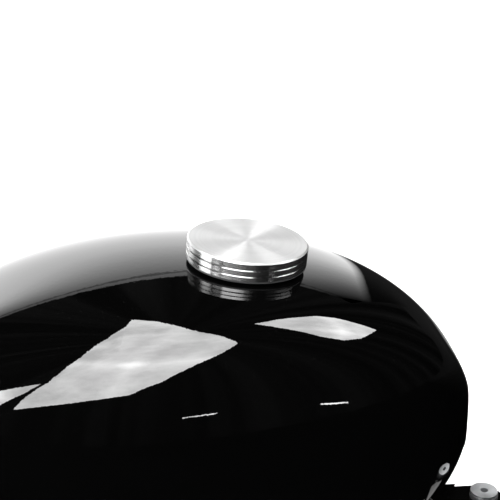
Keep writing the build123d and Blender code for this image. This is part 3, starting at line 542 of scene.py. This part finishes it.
def neck_cutter():
    """Closed cylinder round the cap's axis, as wide as the filler neck's flange."""
    count = NECK_CUT_STEPS
    points = []
    for height in (-NECK_CUT_REACH, NECK_CUT_REACH):
        for step in range(count):
            angle = 2 * pi * step / count
            local = Vector((NECK_FLANGE_RADIUS * cos(angle), NECK_FLANGE_RADIUS * sin(angle), height))
            points.append(cap_frame @ local)
    faces = grid_faces(2, count, closed=True)
    faces += [tuple(range(count)), tuple(range(2 * count - 1, count - 1, -1))]
    cutter = new_object("neck_cutter", points, faces)
    merge_close(cutter, 1e-6)
    return cutter


def lean_on_form(thing):
    """Give the skin the exact normals of the tank's form, so that reflections run smoothly over it."""
    mesh = thing.data
    count = len(mesh.vertices)
    points = np.zeros(count * 3)
    mesh.vertices.foreach_get("co", points)
    points = points.reshape(-1, 3)
    form_normals = outline_normals(points)
    distance = np.abs(outline_value(points))
    on_form = distance < FORM_TOLERANCE
    loop_points = np.zeros(len(mesh.loops), dtype=np.int32)
    mesh.loops.foreach_get("vertex_index", loop_points)
    face_normals = np.zeros(len(mesh.polygons) * 3)
    mesh.polygons.foreach_get("normal", face_normals)
    face_normals = face_normals.reshape(-1, 3)
    totals = np.zeros(len(mesh.polygons), dtype=np.int32)
    mesh.polygons.foreach_get("loop_total", totals)
    loop_faces = np.repeat(np.arange(len(mesh.polygons)), totals)
    wanted = form_normals[loop_points]
    flat = face_normals[loop_faces]
    agree = np.sum(wanted * flat, axis=1)
    outside = (agree > NORMALS_AGREE) & on_form[loop_points]
    inside = agree < -NORMALS_AGREE
    loop_normals = np.where(outside[:, None], wanted, np.where(inside[:, None], -wanted, flat))
    smooth(thing)
    mesh.normals_split_custom_set([tuple(n) for n in loop_normals])


def tank_skin():
    """The painted upper shell, as thick sheet, open at the tunnel and at the filler neck."""
    middle = (NOSE_X + TAIL_X) / 2
    half = (NOSE_X - TAIL_X) / 2 - 1e-5
    rows = []
    for station in range(STATIONS + 1):
        rows.append(section_points(middle + half * sin(pi * (station / STATIONS - 0.5))))
    points = [point for row in rows for point in row]
    skin = new_object("tank_skin", points, grid_faces(len(rows), len(rows[0])))
    merge_close(skin, 2e-6)
    thicken = skin.modifiers.new("sheet", "SOLIDIFY")
    thicken.thickness = SHEET
    thicken.offset = -1.0
    apply_modifiers(skin)
    cut_away(skin, tunnel_cutter())
    cut_away(skin, neck_cutter())
    lean_on_form(skin)
    return skin


def seam_lip(name, side):
    """The lip welded along the bottom of one side, with a rounded edge and a weld bead above it."""
    middle = (NOSE_X + TAIL_X) / 2
    half = (NOSE_X - TAIL_X) / 2
    inner_edge = TUNNEL_HALF_WIDTH + SHEET + LIP_TUNNEL_GAP
    profile = [
        (-LIP_TUCK, 0.0),
        (LIP_WIDTH - LIP_EDGE, 0.0),
        (LIP_WIDTH, LIP_EDGE),
        (LIP_WIDTH, SHEET - LIP_EDGE),
        (LIP_WIDTH - LIP_EDGE, SHEET),
        (WELD_BEAD, SHEET),
        (WELD_BEAD * 0.4, SHEET + WELD_BEAD * 0.25),
        (0.0, SHEET + WELD_BEAD),
        (-LIP_TUCK, SHEET + WELD_BEAD),
    ]
    rings = []
    for station in range(1, LIP_STATIONS):
        x = middle + half * sin(pi * (station / LIP_STATIONS - 0.5))
        seam_top = float(seam_height(np.array([x]))[0]) + SHEET
        belly = BELLY_DEPTH * float(height_ratio(np.array([x]))[0])
        reach = (WAIST_Z - seam_top) / belly
        if reach >= 1.0:
            continue
        y = HALF_WIDTH * float(width_ratio(np.array([x]))[0]) * sqrt(1.0 - reach**2)
        if y < inner_edge:
            continue
        foot = np.array([[x, side * y, seam_top]])
        outward = outline_normals(foot)[0] * np.array([1.0, 1.0, 0.0])
        outward /= np.linalg.norm(outward)
        rings.append([foot[0] + outward * out + np.array([0.0, 0.0, up]) for out, up in profile])
    count = len(rings[0])
    points = [point for ring in rings for point in ring]
    faces = grid_faces(len(rings), count, closed=True)
    last = (len(rings) - 1) * count
    faces += [tuple(range(count)), tuple(range(last + count - 1, last - 1, -1))]
    lip = new_object(name, points, faces)
    merge_close(lip, 1e-7)
    smooth(lip)
    lip.data.set_sharp_from_angle(angle=radians(40))
    return lip


skin = tank_skin()
skin.data.materials.append(materials["gloss_black_paint"])
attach(skin, "tank")
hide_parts("tank_shell")

for lip_name, lip_side in (("seam_lip_right", -1), ("seam_lip_left", 1)):
    lip = seam_lip(lip_name, lip_side)
    lip.data.materials.append(materials["gloss_black_paint"])
    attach(lip, "tank")

# ---------------------------------------------------------------- cap cover

FACE_RINGS = 40
CAP_STEPS = 240


def cap_profile():
    """Radius and height of the cap cover's outline, from the centre of the top down to its underside."""
    band = (CAP_HEIGHT - CAP_CHAMFER - GROOVE_COUNT * GROOVE_WIDTH) / (GROOVE_COUNT + 1)
    groove_radius = CAP_RADIUS - GROOVE_DEPTH
    outline = [(0.0, CAP_TOP)]
    outline += [(CAP_RADIUS * step / FACE_RINGS, CAP_TOP) for step in range(1, FACE_RINGS - 1)]
    outline += [(CAP_RADIUS - CAP_CHAMFER, CAP_TOP), (CAP_RADIUS, CAP_TOP - CAP_CHAMFER)]
    height = CAP_TOP - CAP_CHAMFER
    for _ in range(GROOVE_COUNT):
        height -= band
        outline += [(CAP_RADIUS, height + GROOVE_EDGE_BREAK), (groove_radius, height - GROOVE_EDGE_BREAK)]
        height -= GROOVE_WIDTH
        outline += [(groove_radius, height + GROOVE_SLOPE), (CAP_RADIUS, height - GROOVE_SLOPE)]
    outline += [(CAP_RADIUS, CAP_GAP + CAP_BOTTOM_BREAK), (CAP_RADIUS - CAP_BOTTOM_BREAK, CAP_GAP)]
    outline += [(CAP_RECESS_RADIUS, CAP_GAP), (CAP_RECESS_RADIUS, CAP_RECESS_TOP), (0.0, CAP_RECESS_TOP)]
    return outline


def turned(name, outline, around):
    """A mesh turned round the local Z axis from an outline of radius and height."""
    points = []
    for radius, height in outline:
        for step in range(around):
            angle = 2 * pi * step / around
            points.append((radius * cos(angle), radius * sin(angle), height))
    thing = new_object(name, points, grid_faces(len(outline), around, closed=True))
    merge_close(thing, 1e-7)
    smooth(thing)
    thing.data.set_sharp_from_angle(angle=radians(25))
    return thing


cover = turned("cap_cover_turned", cap_profile(), CAP_STEPS)
cover.data.materials.append(materials["turned_aluminium"])
cover.matrix_world = cap_frame
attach(cover, "cap")
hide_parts("cap_cover")

# ---------------------------------------------------------------- studio

FLOOR_Z = -0.058
FLOOR_REACH = 60.0
FLOOR_GLOW_START_Y = 0.15
FLOOR_GLOW_END_Y = 0.85
FLOOR_GLOW = 2.6
FLOOR_DARK = 0.003
FLOOR_EDGE_X = 0.07
FLOOR_EDGE_SLOPE = 0.18
WALL_Y = 2.5
WALL_LEFT_X = -5.0
WALL_RIGHT_X = 1.35
WALL_TOP_AT_CENTRE = 1.49
WALL_TOP_SLOPE = -0.065
WALL_EDGE_X = 0.62
WALL_EDGE_SLOPE = 0.75
WALL_GLOW = 3.1
WALL_FADE_HEIGHT = 2.0
WALL_FADE = [(0.50, 0.90), (0.57, 0.76), (0.64, 0.50), (0.70, 0.32), (0.80, 0.15), (0.95, 0.06)]
WALL_STRENGTH_AT_FLOOR = 0.85
WALL_STRENGTH_AT_TOP = 0.04
WALL_FADE_START_X = -0.4
WALL_FADE_GAIN = 0.215
WALL_LINE_DROP = 0.075
WALL_LINE_HALF_WIDTH = 0.016
WALL_LINE_LOSS = 1.7
EDGE_SOFTNESS = 0.08
LAMP_DISTANCE = 1.8
crown = Vector((CREST_X, 0, WAIST_Z + CROWN_HEIGHT))


def wall_top(x):
    """Height of the backdrop's upper edge, which hangs a little crooked."""
    return WALL_TOP_AT_CENTRE + WALL_TOP_SLOPE * x


def stage_object(name, points, faces, material):
    thing = new_object(name, points, faces)
    thing.data.materials.append(material)
    return thing


def lit_side(s, x, edge):
    """1 where x is behind the edge and almost 0 ahead of it, with a soft step between."""
    return s.spread(s.maths("SUBTRACT", x, edge), -EDGE_SOFTNESS, EDGE_SOFTNESS, 1.0, 0.01)


def floor_material():
    """Plain pale floor, seen from above only. In mirrors it is bright behind the tank and dark elsewhere."""
    s = Shader("studio_floor")
    geometry = s.add("ShaderNodeNewGeometry").outputs
    axes = s.split(geometry["Position"])
    pale = s.add("ShaderNodeBsdfDiffuse")
    pale.inputs["Color"].default_value = grey(0.86)
    behind = s.spread(axes["Y"], FLOOR_GLOW_START_Y, FLOOR_GLOW_END_Y, FLOOR_DARK, FLOOR_GLOW)
    edge = s.maths("ADD", s.maths("MULTIPLY", axes["Y"], FLOOR_EDGE_SLOPE), FLOOR_EDGE_X)
    mirrored = s.emission(s.maths("MULTIPLY", behind, lit_side(s, axes["X"], edge)))
    in_mirrors = s.add("ShaderNodeLightPath").outputs["Is Glossy Ray"]
    from_above = s.choose(in_mirrors, pale.outputs[0], mirrored)
    nothing = s.add("ShaderNodeBsdfTransparent").outputs[0]
    s.finish(s.choose(geometry["Backfacing"], from_above, nothing))
    return s.block


def wall_material():
    """White backdrop that fades upwards and forwards, with a thin dark line under its top edge."""
    s = Shader("studio_wall")
    axes = s.split(s.add("ShaderNodeNewGeometry").outputs["Position"])
    height = axes["Z"]
    ahead = s.maths("MAXIMUM", s.maths("SUBTRACT", axes["X"], WALL_FADE_START_X), 0.0)
    fade = s.maths("ADD", height, s.maths("MULTIPLY", s.maths("POWER", ahead, 3.0), WALL_FADE_GAIN))
    ramp = s.add("ShaderNodeFloatCurve")
    s.link(s.maths("MULTIPLY", fade, 1.0 / WALL_FADE_HEIGHT), ramp.inputs["Value"])
    curve = ramp.mapping.curves[0]
    curve.points[0].location = (0.0, WALL_STRENGTH_AT_FLOOR)
    curve.points[1].location = (1.0, WALL_STRENGTH_AT_TOP)
    for share, strength in WALL_FADE:
        curve.points.new(share, strength)
    ramp.mapping.update()
    top = s.maths("ADD", s.maths("MULTIPLY", axes["X"], WALL_TOP_SLOPE), WALL_TOP_AT_CENTRE)
    line = s.maths("COMPARE", s.maths("SUBTRACT", top, height), WALL_LINE_DROP)
    line.node.inputs[2].default_value = WALL_LINE_HALF_WIDTH
    strength = s.maths("SUBTRACT", WALL_GLOW, s.maths("MULTIPLY", line, WALL_LINE_LOSS))
    edge = s.maths("ADD", s.maths("MULTIPLY", height, WALL_EDGE_SLOPE), WALL_EDGE_X)
    glow = s.maths("MULTIPLY", s.maths("MULTIPLY", ramp.outputs[0], strength), lit_side(s, axes["X"], edge))
    s.finish(s.emission(glow))
    return s.block


def towards(azimuth, elevation):
    """Point in a direction from the tank's crown, at the lamps' distance."""
    a, e = radians(azimuth), radians(elevation)
    return crown + LAMP_DISTANCE * Vector((cos(a) * cos(e), sin(a) * cos(e), sin(e)))


def lamp_material(strength, azimuth, elevation):
    """Softbox cloth: uneven, brightest in front of its bulb, with two creases that cross there."""
    s = Shader("softbox")
    where = s.position()
    direction = s.vector("NORMALIZE", s.vector("SUBTRACT", where, crown))
    bulb_direction = (towards(azimuth, elevation) - crown) / LAMP_DISTANCE
    offset = s.vector("SUBTRACT", direction, bulb_direction)
    distance = s.vector("LENGTH", offset, output="Value")
    across = (-sin(radians(azimuth)), cos(radians(azimuth)), 0.0)
    sideways = s.maths("ABSOLUTE", s.vector("DOT_PRODUCT", offset, across, output="Value"))
    above = s.maths("ABSOLUTE", s.split(offset)["Z"])
    upright_crease = s.spread(sideways, 0.0, 0.08, 0.20, 0.0)
    level_crease = s.spread(above, 0.0, 0.05, 0.24, 0.0)
    creases = s.maths("MAXIMUM", upright_crease, level_crease)
    glow = s.spread(distance, 0.0, 0.60, 0.18, 0.0)
    spot = s.spread(distance, 0.02, 0.09, 0.50, 0.0)
    cloudy = s.spread(s.noise(where, scale=2.6, detail=4.0, roughness=0.6), 0.35, 0.68, 0.78, 1.18)
    total = s.maths("ADD", s.maths("ADD", cloudy, creases), s.maths("ADD", glow, spot))
    s.finish(s.emission(s.maths("MULTIPLY", total, strength)))
    return s.block


def softbox(name, strength, bulb, corners):
    """A lamp with its bulb and corners in the given directions, azimuth and elevation in degrees."""
    points = [towards(azimuth, elevation) for azimuth, elevation in corners]
    centre = sum(points, Vector()) / len(points)
    count = len(points)
    faces = [(step, (step + 1) % count, count) for step in range(count)]
    lamp = stage_object(name, points + [centre], faces, lamp_material(strength, *bulb))
    lamp.visible_camera = False
    return lamp


floor_corners = ((-1, -1), (1, -1), (1, 1), (-1, 1))
stage_object(
    "floor",
    [(x * FLOOR_REACH, y * FLOOR_REACH, FLOOR_Z) for x, y in floor_corners],
    [(0, 1, 2, 3)],
    floor_material(),
)
wall = stage_object(
    "backdrop",
    [
        (WALL_LEFT_X, WALL_Y, FLOOR_Z),
        (WALL_RIGHT_X, WALL_Y, FLOOR_Z),
        (WALL_RIGHT_X, WALL_Y, wall_top(WALL_RIGHT_X)),
        (WALL_LEFT_X, WALL_Y, wall_top(WALL_LEFT_X)),
    ],
    [(0, 1, 2, 3)],
    wall_material(),
)
wall.visible_camera = False
wall.visible_diffuse = False
wall.visible_shadow = False

SOFTBOX_SIDE = [
    (-138, 14),
    (-133, 26),
    (-137, 47),
    (-147, 62),
    (161, 74),
    (118, 68),
    (108, 61),
    (100, 68),
    (34, 84),
    (-24, 78),
    (-43, 68),
    (-65, 60),
    (-91, 38),
    (-100, 29),
    (-119, 23),
]
SOFTBOX_FRONT = [(33, 69), (39, 60), (41, 47), (38, 42), (26, 31), (6, 38), (-3, 43), (-3, 51), (16, 65)]
SOFTBOX_REAR = [(-137, 36), (-149, 25), (-158, 19), (-152, 8), (-144, 15), (-139, 26)]

softbox("softbox_side", 12.0, (-107, 56.4), SOFTBOX_SIDE)
softbox("softbox_front", 10.5, (12, 45), SOFTBOX_FRONT)
softbox("softbox_rear", 11.0, (-150, 20), SOFTBOX_REAR)
softbox("strip_side", 12.0, (-78, 12), [(-85, 10.3), (-77, 10.7), (-77, 10.0), (-85, 9.7)])
softbox("strip_front", 14.0, (-46, 5), [(-49.5, 5.4), (-41, 2.7), (-41, 1.9), (-49.5, 4.6)])
softbox("softbox_tail", 8.0, (186, 20), [(199, 34), (173, 43), (173, -8), (199, -8)])
softbox("softbox_left", 5.0, (136, 4), [(150, 14), (124, 14), (124, -8), (150, -8)])


def studio_world():
    """Soft white light from all round. In mirrors the room is black but for faint upright streaks."""
    s = Shader("studio", world=True)
    soft = s.add("ShaderNodeBackground")
    soft.inputs["Color"].default_value = grey(1.0)
    direction = s.add("ShaderNodeTexCoord").outputs["Generated"]
    level = s.vector("NORMALIZE", s.vector("MULTIPLY", direction, (1.0, 1.0, 0.0)))
    streaks = s.noise(level, scale=7.0, detail=4.0)
    dark = s.add("ShaderNodeBackground")
    s.link(s.spread(streaks, 0.45, 0.75, 0.002, 0.06), dark.inputs["Strength"])
    in_mirrors = s.add("ShaderNodeLightPath").outputs["Is Glossy Ray"]
    s.finish(s.choose(in_mirrors, soft.outputs[0], dark.outputs[0]))
    return s.block


bpy.context.scene.world = studio_world()

# ---------------------------------------------------------------- camera

CAMERA_AZIMUTH = radians(-5.0)
CAMERA_ELEVATION = radians(22.8)
CAMERA_DISTANCE = 0.900
CAMERA_LENS = 79.1
CAMERA_SENSOR = 36.0
AIM_SIDEWAYS = 0.0016
AIM_BELOW_CAP = 0.0085

back = Vector(
    (
        sin(CAMERA_AZIMUTH) * cos(CAMERA_ELEVATION),
        -cos(CAMERA_AZIMUTH) * cos(CAMERA_ELEVATION),
        sin(CAMERA_ELEVATION),
    )
)
turn = (-back).to_track_quat("-Z", "Y")
sideways = turn @ Vector((1, 0, 0))
upwards = turn @ Vector((0, 1, 0))
aim = cap_origin + cap_up * CAP_TOP + sideways * AIM_SIDEWAYS - upwards * AIM_BELOW_CAP
camera = bpy.data.objects.new("camera", bpy.data.cameras.new("camera"))
camera.data.lens = CAMERA_LENS
camera.data.sensor_width = CAMERA_SENSOR
camera.rotation_mode = "QUATERNION"
camera.rotation_quaternion = turn
camera.location = aim + back * CAMERA_DISTANCE
bpy.context.scene.collection.objects.link(camera)
bpy.context.scene.camera = camera
bpy.context.scene.view_settings.view_transform = "Standard"
